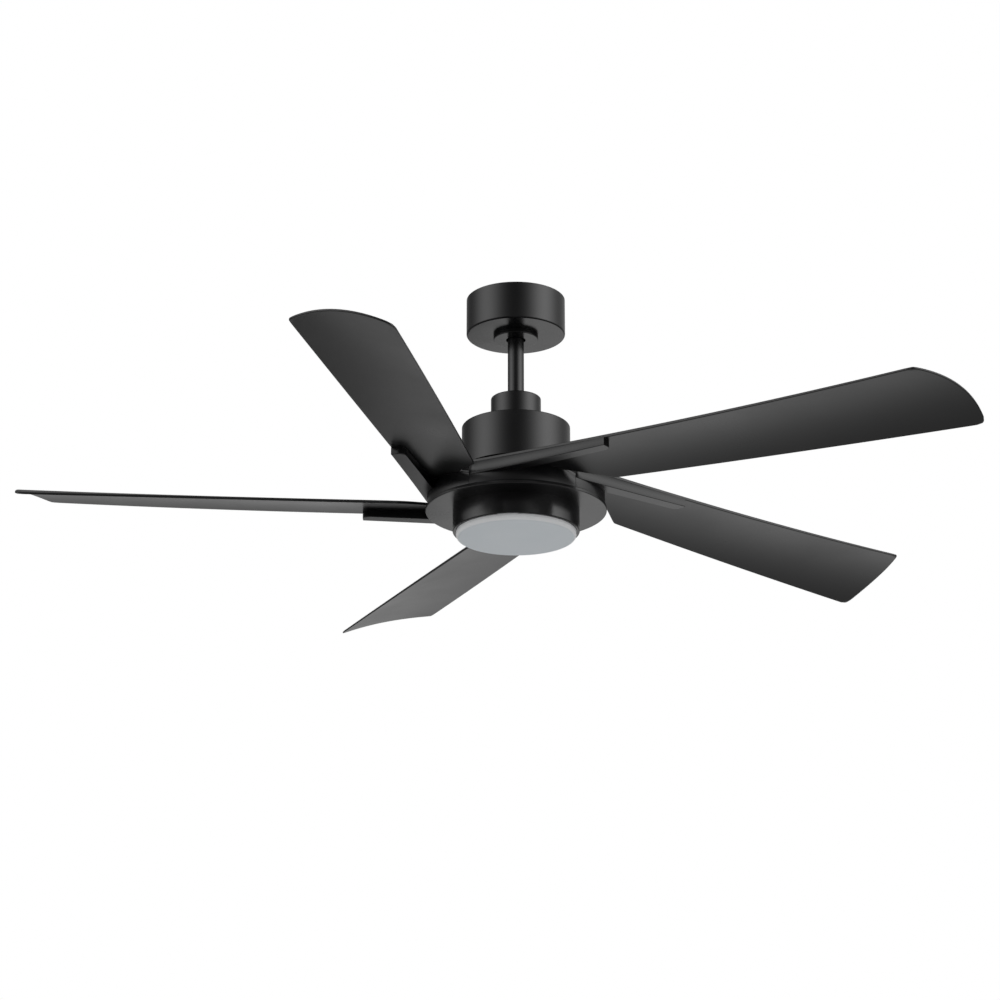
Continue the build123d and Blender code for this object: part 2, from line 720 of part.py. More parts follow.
def make_keel(blade_plan, below):
    """Rib under the leading edge, from the hub's wall to its rounded outer end."""
    lead_end = leading_edge(keel_end)[0]
    front = lead_end - 60.0
    back_end = (keel_end, lead_end + keel_width_end)
    back_root = (0.0, keel_width_root - hub_radius)
    with BuildSketch() as plan:
        Polygon((0.0, front - 60.0), (keel_end, front), back_end, back_root, align=None)
        fillet(plan.vertices().sort_by_distance(back_end)[0], keel_rounding)
    prism = Pos(0, 0, pan_bottom) * extrude(plan.sketch, 80)
    root_z = motor_bottom - keel_root_drop
    end_z = motor_bottom - keel_end_drop
    far = keel_end + 40.0
    with BuildSketch(Plane.XZ) as side:
        Polygon((0, root_z), (keel_end, end_z), (far, end_z), (far, motor_top), (-40, motor_top),
                (-40, root_z), align=None)
    above_floor = extrude(side.sketch, 200, both=True)
    keel = prism & blade_plan & above_floor & below
    return keel - cylinder(hub_radius - hub_wall / 2, skirt_bottom - 20, motor_bottom)


def make_root(below):
    """Hub sector at the blade's root: screw pad, riser, outer skirt and one side wall."""
    start, end = seam_angles()
    pad = pie(pad_inner_radius, pad_wall_radius, start, end, pad_bottom, pad_top)
    riser = pie(pad_wall_radius - hub_wall, pad_wall_radius, start, end, skirt_bottom, pad_top)
    riser &= make_sheet(1.5, 60.0, -12.0, 200.0, 3)
    skirt = pie(hub_radius - hub_wall, hub_radius, start, end, skirt_bottom, pad_top) & below
    side = Rot(0, 0, start) * block(pad_wall_radius - 2, hub_radius - 1, 0, hub_wall,
                                    pan_top + 8, pad_top) & below
    root = pad + riser + skirt + side
    for x, y in pad_screw_places(0.0)[:3]:
        root -= cylinder(2.0 + screw_clearance, pad_bottom - 1, pad_top + 1, x, y)
    return root


def pad_screw_places(first_angle=blade_1_angle):
    """Three screws in each blade pad, counted from the blade that points along first_angle."""
    places = []
    for blade in range(blade_count):
        for step in (-1, 0, 1):
            angle = first_angle + seam_angle + sector / 2 + step * sector * 0.3 + blade * sector
            places.append(on_circle(pad_screw_radius, angle))
    return places


def make_blade():
    """One moulded blade, pointing along +X."""
    below = make_sheet(-60.0, 1.2, -12.0, 300.0, 4)
    blade_plan = make_blade_plan()
    plate = make_sheet(0.0, None) & blade_plan
    return plate + make_keel(blade_plan, below) + make_root(below)


def make_blade_screws():
    """Screws up through the blade pads into the carrier."""
    return group(screw(x, y, pad_bottom, pad_top + carrier_plate - 0.5, 2.0, 3.6, 2.3)
                 for x, y in pad_screw_places())


# ---- light --------------------------------------------------------------------------------

def make_light_bracket():
    """Plate on the shaft's end with three posts that carry the pan."""
    plate = tube(46.0, shaft_radius, bracket_plate_low, bracket_plate_low + 3.0)
    for x, y, _ in around(3, post_circle, post_angle):
        plate += cylinder(5.0, pan_bottom + pan_sheet, bracket_plate_low + 1, x, y)
    for x, y, _ in around(3, post_circle, post_angle):
        plate -= cylinder(2.0 + screw_clearance, pan_bottom, bracket_plate_low - 1, x, y)
    return plate


def make_shaft_nuts():
    """Two nuts that clamp the light bracket on the shaft."""
    nuts = []
    for low in (bracket_plate_low - 6.0, bracket_plate_low + 3.0):
        nut = extrude(RegularPolygon(15.0, 6), 6.0) - Cylinder(shaft_radius, 20)
        nuts.append(Pos(0, 0, low) * nut)
    return group(nuts)


def make_pan():
    """Shallow round pan under the blade roots."""
    pan = cylinder(pan_radius, pan_bottom, pan_top)
    pan = fillet(pan.edges().filter_by(GeomType.CIRCLE).sort_by(Axis.Z)[0], 0.8)
    pan -= cylinder(pan_radius - pan_sheet, pan_bottom + pan_sheet, pan_top + 1)
    pan -= cylinder(shaft_radius + 1.0, pan_bottom - 1, pan_top)
    for x, y, _ in around(3, post_circle, post_angle):
        pan -= cylinder(2.0 + screw_clearance, pan_bottom - 1, pan_top, x, y)
    return pan


def make_light_housing():
    """Short round housing with an inward lip that holds the lens."""
    shell = cylinder(light_radius, light_bottom, pan_bottom)
    shell = chamfer(shell.edges().filter_by(GeomType.CIRCLE).sort_by(Axis.Z)[0], light_edge)
    shell -= cylinder(light_radius - light_wall, light_bottom + light_lip, pan_bottom - light_wall)
    lip_radius = lens_radius + lens_clearance
    shell -= cylinder(lip_radius, light_bottom - 1, light_bottom + light_lip + 1)
    shell -= cylinder(shaft_radius + 1.0, pan_bottom - 5, pan_bottom + 1)
    for x, y, _ in around(3, post_circle, post_angle):
        shell -= cylinder(2.0 + screw_clearance, pan_bottom - 5, pan_bottom + 1, x, y)
    for _, _, angle in around(lug_count, 1.0):
        middle = angle + lug_turn
        half = lug_sweep / 2 + 1.5
        shell -= pie(lip_radius - 1, light_radius - light_wall - 0.3, middle - half, middle + half,
                     light_bottom - 1, light_bottom + light_lip + 1)
    return shell


def make_light_screws():
    """Three screws up through housing and pan into the bracket's posts."""
    face = pan_bottom - light_wall
    return group(screw(x, y, face, face + 9.0, 2.0, 3.8, 2.4)
                 for x, y, _ in around(3, post_circle, post_angle))


def make_led_board():
    """Round metal-core board that carries the light sources."""
    board = cylinder(led_board_radius, led_board_top - 1.6, led_board_top)
    for x, y, _ in around(3, board_post_circle, board_post_angle):
        board -= cylinder(1.5 + screw_clearance, led_board_top - 3, led_board_top + 1, x, y)
    return board


def make_led_standoffs():
    """Posts between the light housing and the board."""
    return group(tube(3.0, 1.5 + screw_clearance, led_board_top, pan_bottom - light_wall, x, y)
                 for x, y, _ in around(3, board_post_circle, board_post_angle))


def make_led_screws():
    """Screws that hold the board on its posts."""
    face = led_board_top - 1.6
    return group(screw(x, y, face, led_board_top + 6, 1.5, 2.6, 1.8)
                 for x, y, _ in around(3, board_post_circle, board_post_angle))


def make_leds():
    """Light sources in rings under the board."""
    chips = []
    face = led_board_top - 1.6
    for share, count in led_rings:
        for x, y, angle in around(count, share * led_board_radius):
            chips.append(Pos(x, y, face - 0.4) * Rot(0, 0, angle) * Box(2.8, 2.8, 0.8))
    return group(chips)


def make_led_driver():
    """Flat driver box above the board."""
    top = pan_bottom - light_wall
    driver = block(driver_start, driver_end, -17, 17, top - 10.5, top)
    driver -= block(driver_end - 10, driver_end + 1, -8, 8, top - 8, top - 3)
    return fillet(driver.edges().filter_by(Axis.Z).sort_by(Axis.X)[:2], 2.0)


def make_lens():
    """Frosted lens: a flat shallow cup with three lugs above the housing's lip."""
    top = light_bottom + light_lip + 2.8
    cup = cylinder(lens_radius, lens_bottom, top)
    cup = fillet(cup.edges().filter_by(GeomType.CIRCLE).sort_by(Axis.Z)[0], lens_edge)
    hollow = cylinder(lens_radius - lens_wall, lens_bottom + lens_wall, top + 1)
    hollow = fillet(hollow.edges().filter_by(GeomType.CIRCLE).sort_by(Axis.Z)[0],
                    lens_edge - lens_wall)
    lens = cup - hollow
    low = light_bottom + light_lip + lens_clearance
    for _, _, angle in around(lug_count, 1.0):
        lens += pie(lens_radius - 1, light_radius - light_wall - 1.0, angle - lug_sweep / 2,
                    angle + lug_sweep / 2, low, top)
    return lens


# ---- all the nodes ------------------------------------------------------------------------

def make_parts():
    """Every node by name."""
    parts = {
        "hanger_bracket": make_hanger_bracket(),
        "receiver": make_receiver(),
        "terminal_block": make_terminal_block(),
        "terminal_screws": make_terminal_screws(),
        "canopy": make_canopy(),
        "canopy_screws": make_canopy_screws(),
        "canopy_ring": make_canopy_ring(),
        "hanger_ball": make_hanger_ball(),
        "ball_pin": make_ball_pin(),
        "downrod": make_downrod(),
        "wire_loom": make_wire_loom(),
        "yoke": make_yoke(),
        "yoke_set_screws": make_yoke_set_screws(),
        "clevis_pin": make_clevis_pin(),
        "hairpin": make_hairpin(),
        "coupling_cover": make_coupling_cover(),
        "motor_housing": make_motor_housing(),
        "motor_closing_ring": make_motor_closing_ring(),
        "motor_plate": make_motor_plate(),
        "yoke_screws": make_yoke_screws(),
        "motor_shaft": make_motor_shaft(),
        "stator_core": make_stator_core(),
        "stator_windings": make_stator_windings(),
        "rotor_top_cover": make_rotor_top_cover(),
        "rotor_bottom_cover": make_rotor_bottom_cover(),
        "rotor_ring": make_rotor_ring(),
        "rotor_screws": make_rotor_screws(),
        "rotor_magnets": make_rotor_magnets(),
        "blade_carrier": make_blade_carrier(),
        "carrier_screws": make_carrier_screws(),
        "blade_screws": make_blade_screws(),
        "light_bracket": make_light_bracket(),
        "shaft_nuts": make_shaft_nuts(),
        "pan": make_pan(),
        "light_housing": make_light_housing(),
        "light_screws": make_light_screws(),
        "led_board": make_led_board(),
        "led_standoffs": make_led_standoffs(),
        "led_screws": make_led_screws(),
        "leds": make_leds(),
        "led_driver": make_led_driver(),
        "lens": make_lens(),
    }
    for name, span in (("upper", bearing_high), ("lower", bearing_low)):
        parts[name + "_bearing_inner_race"] = make_bearing_inner(span)
        parts[name + "_bearing_outer_race"] = make_bearing_outer(span)
        parts[name + "_bearing_balls"] = make_bearing_balls(span)
    blade = make_blade()
    for number in range(blade_count):
        parts[f"blade_{number + 1}"] = Rot(0, 0, blade_1_angle + number * sector) * blade
    return parts


os.makedirs("parts", exist_ok=True)
for node, shape in make_parts().items():
    export_step(shape, f"parts/{node}.step")
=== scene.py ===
from math import atan, cos, pi, radians, sin, sqrt

import bpy
import numpy as np
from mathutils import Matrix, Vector


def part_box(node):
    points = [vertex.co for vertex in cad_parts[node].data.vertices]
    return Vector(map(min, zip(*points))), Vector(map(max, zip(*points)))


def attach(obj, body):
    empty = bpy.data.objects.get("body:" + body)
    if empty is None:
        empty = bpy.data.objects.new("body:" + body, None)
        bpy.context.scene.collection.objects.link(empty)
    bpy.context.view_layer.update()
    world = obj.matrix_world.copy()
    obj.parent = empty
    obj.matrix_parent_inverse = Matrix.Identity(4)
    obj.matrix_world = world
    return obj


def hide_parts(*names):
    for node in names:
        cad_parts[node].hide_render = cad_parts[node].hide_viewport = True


# Ceiling fan with a light, in metres, +Z up, origin at the centre of the ceiling face.

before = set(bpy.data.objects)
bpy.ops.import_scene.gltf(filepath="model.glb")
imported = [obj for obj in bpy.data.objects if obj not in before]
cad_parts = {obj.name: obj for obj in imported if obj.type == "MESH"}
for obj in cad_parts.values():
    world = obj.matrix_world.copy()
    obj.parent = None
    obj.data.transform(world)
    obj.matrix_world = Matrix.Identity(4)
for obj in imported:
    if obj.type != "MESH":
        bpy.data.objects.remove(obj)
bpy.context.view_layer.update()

MM = 0.001

# ---- blade sizes, in millimetres, as in the CAD model ---------------------------------------

blade_count = 5
blade_1_angle = 180.0
sweep_radius = 660.0
root_station = 200.0
lead_root, lead_tip, lead_bow = -99.8, -64.1, 0.95
trail_root, trail_tip, trail_bow = 2.5, 71.9, 1.5
lead_root_drop, lead_tip_drop, lead_drop_bow = 26.5, 19.5, 2.2
trail_root_drop, trail_tip_drop, trail_drop_bow = 44.9, 55.05, 0.6
camber_root, camber_tip = 4.0, 8.0
root_thickness, tip_thickness = 4.2, 2.8
tip_lead_station = 626.8
tip_trail_station = 650.6
tip_middle = (653.2, 0.0)
tip_lead_rounding, tip_trail_rounding = 9.0, 10.0
inner_corner_station = 160.0
inner_corner_rounding = 7.0
hub_radius = 117.6
hub_wall = 3.0
seam_gap = 0.5
seam_step = 0.5
seam_angle = -85.0
cut_angle = -23.0
pad_inner_radius, pad_outer_radius = 28.0, 75.0
keel_end = 208.0
keel_width_root, keel_width_end = 22.0, 18.0
keel_rounding = 8.0
keel_root_drop, keel_end_drop = 40.5, 36.1
carrier_drop = 17.5
pad_thickness = 5.0
pan_clearance = 1.0

# shell walls and edge roundings, in millimetres, as in the CAD model
canopy_wall, canopy_edge, canopy_hole = 1.2, 2.2, 17.0
ring_wall, ring_edge, ring_bore = 1.2, 1.0, 13.1
coupling_wall, coupling_edge, coupling_bore = 1.2, 2.0, 11.3
motor_wall, motor_edge, shaft_radius = 1.5, 1.6, 8.5
pan_sheet, pan_edge = 1.6, 0.8

rim_rounding = 0.9
small_edge = 0.3

# where the blade's under parts start and how close together their points lie, in millimetres
keel_bow_station = 110.0
keel_inset = 0.05
root_turn = 0.4               # degrees between the seam and the keel's root on the hub's wall
seam_wall_drop = 8.0          # seam wall's lower end above the pan
blade_width, blade_length = 118.0, 560.0

# edge wear, in metres
wear_radius = 0.0008
wear_samples = 4

# scene, in metres and degrees
camera_place = (0.0, -3.440, -1.4487)
camera_tilt = 108.69
camera_yaw = 0.0062           # radians
camera_lens = 98.8
floor_size, floor_height = 9.0, -2.4


def level(node, end):
    """Height of a CAD node's lowest (end 0) or highest (end 1) point, in millimetres."""
    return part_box(node)[end].z / MM


def reach(node):
    """Radius of a round CAD node about the fan's axis, in millimetres."""
    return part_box(node)[1].y / MM


motor_bottom = level("motor_housing", 0)
pan_top = level("pan", 1)
skirt_bottom = pan_top + pan_clearance
pad_top = motor_bottom - carrier_drop
pad_bottom = pad_top - pad_thickness


# ---- materials ------------------------------------------------------------------------------

def new_material(name):
    """An empty material with its Principled shader and a texture position in metres."""
    material = bpy.data.materials.new(name)
    material.use_nodes = True
    nodes = material.node_tree.nodes
    nodes.clear()
    shader = nodes.new("ShaderNodeBsdfPrincipled")
    output = nodes.new("ShaderNodeOutputMaterial")
    material.node_tree.links.new(shader.outputs["BSDF"], output.inputs["Surface"])
    place = nodes.new("ShaderNodeTexCoord").outputs["Object"]
    return material, shader, place


def add_noise(material, place, scale, detail, roughness=0.5):
    """A noise value; scale is in features per metre."""
    noise = material.node_tree.nodes.new("ShaderNodeTexNoise")
    noise.inputs["Scale"].default_value = scale
    noise.inputs["Detail"].default_value = detail
    noise.inputs["Roughness"].default_value = roughness
    material.node_tree.links.new(place, noise.inputs["Vector"])
    return noise.outputs["Fac"]


def add_range(material, value, low, high, from_low=0.3, from_high=0.7):
    """A value brought from one range to another, and held inside it."""
    node = material.node_tree.nodes.new("ShaderNodeMapRange")
    node.inputs["From Min"].default_value = from_low
    node.inputs["From Max"].default_value = from_high
    node.inputs["To Min"].default_value = low
    node.inputs["To Max"].default_value = high
    material.node_tree.links.new(value, node.inputs["Value"])
    return node.outputs["Result"]


def add_mix(material, share, first, second):
    """A colour between two colours; either may be a socket."""
    node = material.node_tree.nodes.new("ShaderNodeMix")
    node.data_type = "RGBA"
    material.node_tree.links.new(share, node.inputs["Factor"])
    for socket, colour in ((node.inputs["A"], first), (node.inputs["B"], second)):
        if isinstance(colour, bpy.types.NodeSocket):
            material.node_tree.links.new(colour, socket)
        else:
            socket.default_value = (*colour, 1.0)
    return node.outputs["Result"]


def add_bump(material, height, distance, strength, normal=None):
    """A bumped normal; distance is the relief's depth in metres."""
    node = material.node_tree.nodes.new("ShaderNodeBump")
    node.inputs["Distance"].default_value = distance
    node.inputs["Strength"].default_value = strength
    material.node_tree.links.new(height, node.inputs["Height"])
    if normal is not None:
        material.node_tree.links.new(normal, node.inputs["Normal"])
    return node.outputs["Normal"]


def add_edge_mask(material):
    """How far a place's normal is from the normal of the same edge rounded off."""
    nodes = material.node_tree.nodes
    links = material.node_tree.links
    rounded = nodes.new("ShaderNodeBevel")
    rounded.samples = wear_samples
    rounded.inputs["Radius"].default_value = wear_radius
    facing = nodes.new("ShaderNodeVectorMath")
    facing.operation = "DOT_PRODUCT"
    links.new(rounded.outputs["Normal"], facing.inputs[0])
    links.new(nodes.new("ShaderNodeNewGeometry").outputs["Normal"], facing.inputs[1])
    away = nodes.new("ShaderNodeMath")
    away.operation = "SUBTRACT"
    away.inputs[0].default_value = 1.0
    links.new(facing.outputs["Value"], away.inputs[1])
    return away.outputs[0]


def add_edge_wear(material, place, amount):
    """How worn a place is: convex edges, broken up by a noise."""
    nodes = material.node_tree.nodes
    links = material.node_tree.links
    edge = add_range(material, add_edge_mask(material), 0.0, amount, 0.01, 0.12)
    patches = add_range(material, add_noise(material, place, 140.0, 4.0), 0.0, 1.0, 0.42, 0.62)
    product = nodes.new("ShaderNodeMath")
    product.operation = "MULTIPLY"
    links.new(edge, product.inputs[0])
    links.new(patches, product.inputs[1])
    return product.outputs[0]


def make_finish(name, dark, light, worn, roughness, metallic=0.0, grain=700.0, relief=0.00002,
                patches=18.0, wear=0.5, strength=0.25, specular=0.5):
    """A finish with uneven colour, uneven gloss, a fine grain and worn edges.

    roughness is its lowest and highest value; grain and patches are features per metre.
    """
    material, shader, place = new_material(name)
    links = material.node_tree.links
    broad = add_noise(material, place, patches, 3.0)
    fine = add_noise(material, place, grain, 2.0, 0.6)
    colour = add_mix(material, add_range(material, broad, 0.0, 1.0), dark, light)
    colour = add_mix(material, add_edge_wear(material, place, wear), colour, worn)
    links.new(colour, shader.inputs["Base Color"])
    mixed = material.node_tree.nodes.new("ShaderNodeMath")
    mixed.operation = "ADD"
    links.new(add_range(material, broad, roughness[0], roughness[1]), mixed.inputs[0])
    links.new(add_range(material, fine, -0.02, 0.02), mixed.inputs[1])
    links.new(mixed.outputs[0], shader.inputs["Roughness"])
    links.new(add_bump(material, fine, relief, strength), shader.inputs["Normal"])
    shader.inputs["Metallic"].default_value = metallic
    shader.inputs["Specular IOR Level"].default_value = specular
    return material


def make_lamination():
    """Stacked steel sheets half a millimetre thick, seen on their cut edges."""
    material = make_finish("stacked_sheet", (0.20, 0.20, 0.21), (0.33, 0.33, 0.34),
                           (0.5, 0.5, 0.5), (0.38, 0.5), metallic=0.9)
    add_bands(material, "Z", 2000.0 / (2 * pi), 0.0002)
    return material


def add_bands(material, direction, scale, depth):
    """Fine parallel ridges over the finish's own grain."""
    nodes = material.node_tree.nodes
    links = material.node_tree.links
    shader = next(node for node in nodes if node.type == "BSDF_PRINCIPLED")
    place = next(node for node in nodes if node.type == "TEX_COORD").outputs["Object"]
    wave = nodes.new("ShaderNodeTexWave")
    wave.bands_direction = direction
    wave.inputs["Scale"].default_value = scale
    links.new(place, wave.inputs["Vector"])
    grain = shader.inputs["Normal"].links[0].from_socket
    links.new(add_bump(material, wave.outputs["Fac"], depth, 0.6, grain), shader.inputs["Normal"])


def make_copper():
    """Enamelled winding wire, in turns of about a millimetre."""
    material = make_finish("enamelled_wire", (0.42, 0.14, 0.05), (0.62, 0.25, 0.09),
                           (0.75, 0.4, 0.2), (0.22, 0.34), metallic=0.85)
    add_bands(material, "Z", 1000.0 / (2 * pi), 0.0003)
    return material


def make_zinc():
    """Bright zinc plate with its faint spangle."""
    material = make_finish("zinc_plate", (0.46, 0.47, 0.49), (0.66, 0.67, 0.70),
                           (0.8, 0.8, 0.8), (0.24, 0.4), metallic=1.0, grain=1500.0)
    nodes = material.node_tree.nodes
    links = material.node_tree.links
    shader = next(node for node in nodes if node.type == "BSDF_PRINCIPLED")
    place = next(node for node in nodes if node.type == "TEX_COORD").outputs["Object"]
    spangle = nodes.new("ShaderNodeTexVoronoi")
    spangle.inputs["Scale"].default_value = 220.0
    links.new(place, spangle.inputs["Vector"])
    share = add_range(material, spangle.outputs["Distance"], 0.0, 0.35, 0.0, 0.8)
    plain = shader.inputs["Base Color"].links[0].from_socket
    links.new(add_mix(material, share, plain, (0.74, 0.75, 0.78)), shader.inputs["Base Color"])
    return material


def make_frosted():
    """Opal plastic, matt on the outside, with a painted rim highlight: paler where its surface
    turns away from facing down.
    """
    material, shader, place = new_material("frosted_opal")
    links = material.node_tree.links
    broad = add_noise(material, place, 12.0, 2.0)
    fine = add_noise(material, place, 2600.0, 2.0, 0.6)
    facing = material.node_tree.nodes.new("ShaderNodeSeparateXYZ")
    links.new(material.node_tree.nodes.new("ShaderNodeNewGeometry").outputs["Normal"],
              facing.inputs[0])
    # painted highlight: where the normal turns away from straight down, the colour is mixed toward
    # near-white (0.97, 0.985, 1.0) to stand in for light caught on the rim
    edge = add_range(material, facing.outputs["Z"], 0.0, 1.0, -0.97, -0.80)
    colour = add_mix(material, add_range(material, broad, 0.0, 1.0),
                     (0.74, 0.80, 0.84), (0.77, 0.82, 0.86))
    colour = add_mix(material, edge, colour, (0.97, 0.985, 1.0))
    links.new(colour, shader.inputs["Base Color"])
    links.new(add_range(material, fine, 0.42, 0.52), shader.inputs["Roughness"])
    links.new(add_bump(material, fine, 0.00001, 0.2), shader.inputs["Normal"])
    shader.inputs["Subsurface Weight"].default_value = 0.25
    shader.inputs["Subsurface Radius"].default_value = (0.004, 0.004, 0.004)
    shader.inputs["Subsurface Scale"].default_value = 1.0
    return material


def make_materials():
    """Every finish, by the record's slot name."""
    return {
        "black_paint": make_finish(
            "satin_black_paint", (0.0045, 0.0045, 0.005), (0.0065, 0.0065, 0.007),
            (0.035, 0.035, 0.036), (0.22, 0.27), grain=900.0, relief=0.00001, strength=0.12),
        "blade_plastic": make_finish(
            "moulded_black_blade", (0.0045, 0.0045, 0.005), (0.0065, 0.0065, 0.007),
            (0.035, 0.035, 0.036), (0.28, 0.34), grain=1100.0, relief=0.000012, strength=0.15,
            patches=9.0),
        "zinc_steel": make_zinc(),
        "cast_aluminium": make_finish(
            "die_cast", (0.38, 0.38, 0.39), (0.50, 0.50, 0.51), (0.7, 0.7, 0.7), (0.4, 0.52),
            metallic=0.9, grain=500.0, relief=0.00008),
        "bearing_steel": make_finish(
            "ground_steel", (0.58, 0.58, 0.60), (0.68, 0.68, 0.70), (0.8, 0.8, 0.8), (0.1, 0.18),
            metallic=1.0, grain=3000.0, relief=0.000005),
        "lamination": make_lamination(),
        "copper": make_copper(),
        "magnet": make_finish(
            "ferrite", (0.035, 0.035, 0.038), (0.07, 0.07, 0.075), (0.14, 0.14, 0.14), (0.5, 0.65),
            grain=1500.0, relief=0.00003),
        "case_plastic": make_finish(
            "moulded_case", (0.66, 0.66, 0.63), (0.72, 0.72, 0.69), (0.8, 0.8, 0.78), (0.4, 0.5),
            grain=1600.0, relief=0.00003),
        "terminal_plastic": make_finish(
            "terminal_body", (0.70, 0.68, 0.60), (0.76, 0.74, 0.66), (0.85, 0.84, 0.8),
            (0.25, 0.35), grain=1200.0, relief=0.00001),
        "ball_nylon": make_finish(
            "moulded_nylon", (0.012, 0.012, 0.013), (0.022, 0.022, 0.023), (0.06, 0.06, 0.06),
            (0.35, 0.45), grain=1000.0),
        "wire_sleeve": make_finish(
            "wire_insulation", (0.02, 0.02, 0.021), (0.035, 0.035, 0.036), (0.08, 0.08, 0.08),
            (0.4, 0.5), grain=1800.0),
        "board": make_finish(
            "white_solder_mask", (0.78, 0.79, 0.79), (0.84, 0.85, 0.85), (0.6, 0.5, 0.3),
            (0.2, 0.28), grain=1400.0, relief=0.000006, wear=0.2),
        "led": make_finish(
            "phosphor", (0.72, 0.60, 0.18), (0.82, 0.70, 0.26), (0.9, 0.9, 0.85), (0.35, 0.45),
            grain=4000.0, relief=0.00001, wear=0.2),
        "frosted_lens": make_frosted(),
    }


# ---- mesh helpers ---------------------------------------------------------------------------

def make_piece(name, points, faces, slot, body):
    """A smooth-shaded mesh object from points in millimetres, riding on a CAD body."""
    mesh = bpy.data.meshes.new(name)
    mesh.from_pydata([tuple(value * MM for value in point) for point in points], [], faces)
    mesh.materials.append(materials[slot])
    mesh.shade_smooth()
    piece = bpy.data.objects.new(name, mesh)
    bpy.context.scene.collection.objects.link(piece)
    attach(piece, body)
    return piece


def rounded_outline(corners, steps=6, guard=0.4):
    """A closed outline through corners (x, y, rounding), each rounded by an arc.

    Two guard points beside each arc keep the shading of the flat stretches flat.
    """
    outline = []
    count = len(corners)
    for index in range(count):
        corner = Vector(corners[index][:2])
        before = (Vector(corners[index - 1][:2]) - corner).normalized()
        after = (Vector(corners[(index + 1) % count][:2]) - corner).normalized()
        half = before.angle(after) / 2
        rounding = corners[index][2]
        setback = rounding / np.tan(half)
        centre = corner + (before + after).normalized() * rounding / sin(half)
        first = corner + before * setback - centre
        last = corner + after * setback - centre
        turn = first.angle(last)
        outline.append(corner + before * (setback + guard))
        for step in range(steps + 1):
            share = step / steps
            arc = first * sin((1 - share) * turn) + last * sin(share * turn)
            outline.append(centre + arc / sin(turn))
        outline.append(corner + after * (setback + guard))
    return outline


def make_turned(name, corners, slot, body, count=160):
    """A body of revolution from a closed outline of (radius, height, rounding) corners."""
    outline = rounded_outline(corners)
    size = len(outline)
    points = []
    for turn in range(count):
        angle = 2 * pi * turn / count
        points += [(point.x * cos(angle), point.x * sin(angle), point.y) for point in outline]
    faces = []
    for turn in range(count):
        here = turn * size
        there = (turn + 1) % count * size
        for index in range(size):
            after = (index + 1) % size
            faces.append((here + index, there + index, there + after, here + after))
    return make_piece(name, points, faces, slot, body)


def cup(radius, low, high, wall, edge, bore, closed_top):
    """Corners of a round cup's section, with a hole through its closed end."""
    shut, rim = (high, low) if closed_top else (low, high)
    inside = shut - wall if closed_top else shut + wall
    corners = [
        (bore, shut, small_edge),
        (radius, shut, edge),
        (radius, rim, small_edge),
        (radius - wall, rim, small_edge),
        (radius - wall, inside, max(edge - wall, small_edge)),
        (bore, inside, small_edge),
    ]
    return corners[::-1] if closed_top else corners


# ---- visible shells -------------------------------------------------------------------------

def make_shell(node, body, wall, edge, bore, closed_top, name):
    """A turned cup that stands for a CAD shell of the same size."""
    corners = cup(reach(node), level(node, 0), level(node, 1), wall, edge, bore, closed_top)
    shell = make_turned(name, corners, "black_paint", body)
    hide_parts(node)


def make_shells():
    """Every round cover that shows."""
    make_shell("canopy", "ceiling", canopy_wall, canopy_edge, canopy_hole, False, "canopy_shell")
    make_shell("canopy_ring", "ceiling", ring_wall, ring_edge, ring_bore, False, "trim_ring")
    make_shell("coupling_cover", "cover", coupling_wall, coupling_edge, coupling_bore, True,
               "coupling_shell")
    make_shell("motor_housing", "hanging", motor_wall, motor_edge, shaft_radius, True,
               "motor_shell")
    make_shell("pan", "hanging", pan_sheet, pan_edge, shaft_radius + 1.0, False, "pan_disc")


# ---- blade ----------------------------------------------------------------------------------

def along(root, tip, bow, station):
    """A size that changes from root to tip with a bow at mid length."""
    share = (station - root_station) / (sweep_radius - root_station)
    return root + (tip - root) * share + 4 * bow * share * (1 - share)


def leading_edge(station):
    """(across, height) of the underside's leading edge."""
    drop = along(lead_root_drop, lead_tip_drop, lead_drop_bow, station)
    return along(lead_root, lead_tip, lead_bow, station), motor_bottom - drop


def trailing_edge(station):
    """(across, height) of the underside's trailing edge."""
    drop = along(trail_root_drop, trail_tip_drop, trail_drop_bow, station)
    return along(trail_root, trail_tip, trail_bow, station), motor_bottom - drop


def underside(x, y):
    """Height of the blade's underside above a plan point."""
    lead, lead_height = leading_edge(x)
    trail, trail_height = trailing_edge(x)
    share = (y - lead) / (trail - lead)
    camber = along(camber_root, camber_tip, 0.0, x) * 4 * share * (1 - share)
    return lead_height + (trail_height - lead_height) * share + camber


def upper_side(x, y):
    """Height of the blade's upper side above a plan point."""
    thickness = along(root_thickness, tip_thickness, 0.0, max(x, root_station))
    return underside(x, y) + thickness


def on_circle(radius, angle):
    """The plan point at a radius and an angle in degrees."""
    return Vector((radius * cos(radians(angle)), radius * sin(radians(angle))))


def arc_points(radius, angle_from, angle_to, count=60):
    """Points along an arc about the fan's axis."""
    return [on_circle(radius, angle_from + (angle_to - angle_from) * step / count)
            for step in range(count + 1)]


def curve_through(first, middle, last, count=200):
    """Points along the parabola over x through three points."""
    fit = np.polyfit([first[0], middle[0], last[0]], [first[1], middle[1], last[1]], 2)
    stations = np.linspace(first[0], last[0], count + 1)
    return [Vector((x, np.polyval(fit, x))) for x in stations]


def bulge_through(first, middle, last, count=80):
    """Points along the parabola over y through three points."""
    turned = curve_through(*((point[1], point[0]) for point in (first, middle, last)), count)
    return [Vector((point.y, point.x)) for point in turned]


def trim(points, length, from_end):
    """The polyline without the given length at its start or its end."""
    points = points[::-1] if from_end else points
    left = length
    while left > 0:
        step = (points[1] - points[0]).length
        if step > left:
            points = [points[0].lerp(points[1], left / step)] + points[1:]
            left = 0
        else:
            left -= step
            points = points[1:]
    return points[::-1] if from_end else points


